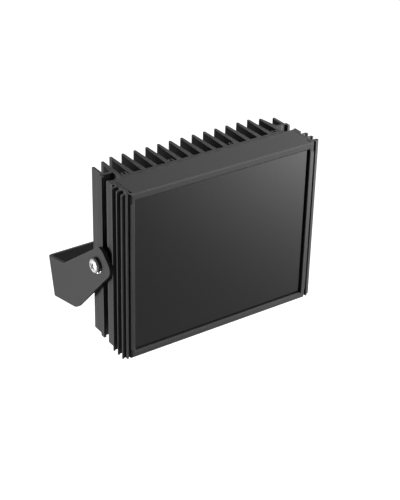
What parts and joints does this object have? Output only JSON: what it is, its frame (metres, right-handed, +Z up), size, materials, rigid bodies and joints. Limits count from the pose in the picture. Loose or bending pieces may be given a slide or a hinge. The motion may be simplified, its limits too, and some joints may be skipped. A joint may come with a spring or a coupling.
{
  "type": "infrared illuminator",
  "caption": "Square infrared lamp with a finned housing, dark window and hooked side ribs, tilting and sliding in a folded U-bracket for a wall.",
  "frame": {"origin": "middle of the centre hole on the bracket's wall face", "axes": "+Z up with the housing upright, the window faces -Y, +X is right seen from the window's side; the bracket is stored tilted by 12 degrees"},
  "size_m": [0.2088, 0.1213, 0.15],
  "materials": {
    "black_coat_steel": "fine matt powder coat, black",
    "black_anodised": "satin black anodised extrusion",
    "cap_plastic": "satin black moulding",
    "seal_rubber": "black soft rubber",
    "window_pane": "gloss, nearly black tint that passes infrared",
    "screw_steel": "bright zinc plating",
    "washer_steel": "dark blued spring steel",
    "spacer_nylon": "black nylon",
    "board_white": "white solder mask",
    "board_green": "green solder mask",
    "emitter_case": "small package with a clear dome",
    "lens_clear": "clear moulded acrylic",
    "pad_grey": "soft grey heat pad",
    "standoff_brass": "plain turned brass",
    "choke_black": "dull ferrite",
    "can_aluminium": "drawn can with a dark sleeve mark",
    "chip_black": "moulded package",
    "block_green": "green moulding",
    "wire_red": "insulated wire",
    "gland_plastic": "black nylon"
  },
  "bodies": {
    "bracket": {"mounting_bracket": "black_coat_steel"},
    "pivots": {"pivot_screws": "screw_steel", "toothed_washers": "washer_steel", "pivot_spacers": "spacer_nylon", "slot_nuts": "screw_steel"},
    "housing": {"housing_profile": "black_anodised", "top_end_cap": "cap_plastic", "bottom_end_cap": "cap_plastic", "top_cap_seal": "seal_rubber", "bottom_cap_seal": "seal_rubber", "front_window": "window_pane", "window_seal": "seal_rubber", "heat_pad": "pad_grey", "lamp_board": "board_white", "emitters": "emitter_case", "lens_strip_1": "lens_clear", "lens_strip_2": "lens_clear", "lens_strip_3": "lens_clear", "lens_strip_4": "lens_clear", "lamp_screws": "screw_steel", "driver_board": "board_green", "driver_standoffs": "standoff_brass", "driver_screws": "screw_steel", "driver_choke": "choke_black", "driver_capacitors": "can_aluminium", "terminal_block": "block_green", "driver_chips": "chip_black", "link_wires": "wire_red", "gland_washer": "seal_rubber", "gland_body": "gland_plastic", "gland_nut": "gland_plastic", "gland_insert": "seal_rubber"}
  },
  "joints": [
    {"name": "tilt", "type": "hinge", "parent": "bracket", "child": "pivots", "pos_m": [0, -0.08346, 0.05224], "axis": [1, 0, 0], "range_deg": [-102, 78]},
    {"name": "height_slide", "type": "slide", "parent": "pivots", "child": "housing", "axis": [0, 0, 1], "range_m": [-0.008, 0.008]}
  ]
}
